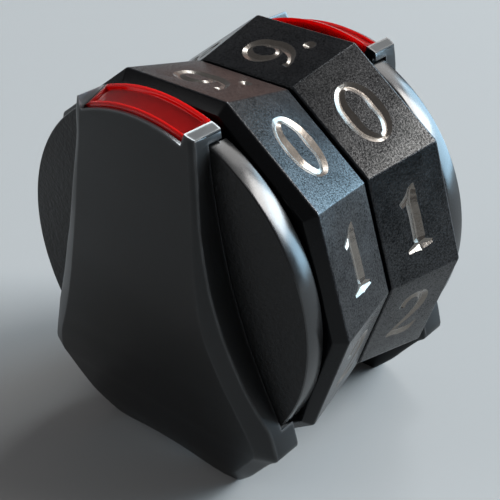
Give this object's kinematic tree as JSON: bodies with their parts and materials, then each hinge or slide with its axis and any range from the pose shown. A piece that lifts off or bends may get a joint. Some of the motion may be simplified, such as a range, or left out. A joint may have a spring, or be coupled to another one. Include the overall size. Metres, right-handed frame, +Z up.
{
  "type": "life counter",
  "caption": "Hand-held score counter: numbered drums side by side click round on an axle between end plates, under shield-shaped bands with clear red inserts.",
  "frame": {"origin": "centre of the bounding box's bottom face, on the surface that the feet rest on, under the middle of the axle", "axes": "+X along the axle from the left drum to the right drum, +Y from the front to the back, +Z up"},
  "size_m": [0.0328, 0.04, 0.0397],
  "materials": {
    "drum": "satin black, numerals filled with pale metallic paint",
    "plate": "matt black with fine radial grain and a polished rim",
    "band": "satin dark grey",
    "clear_red": "glossy translucent red",
    "acetal": "natural white",
    "steel": "bright"
  },
  "bodies": {
    "frame": {"axle": "steel", "centre_washer": "acetal", "thrust_washer_left": "acetal", "thrust_washer_right": "acetal", "end_plate_left": "plate", "end_plate_right": "plate", "axle_screw_left": "steel", "axle_screw_right": "steel", "click_spring_left": "steel", "click_spring_right": "steel", "spring_screw_left": "steel", "spring_screw_right": "steel", "band_left": "band", "band_right": "band", "insert_left": "clear_red", "insert_right": "clear_red"},
    "left_drum": {"drum_left": "drum", "hub_bush_left": "acetal"},
    "right_drum": {"drum_right": "drum", "hub_bush_right": "acetal"}
  },
  "joints": [
    {"name": "left_drum_turn", "type": "hinge", "parent": "frame", "child": "left_drum", "pos_m": [-0.005, 0, 0.0206], "axis": [1, 0, 0], "continuous": true, "deforming": ["click_spring_left"]},
    {"name": "right_drum_turn", "type": "hinge", "parent": "frame", "child": "right_drum", "pos_m": [0.005, 0, 0.0206], "axis": [1, 0, 0], "continuous": true, "deforming": ["click_spring_right"]}
  ]
}
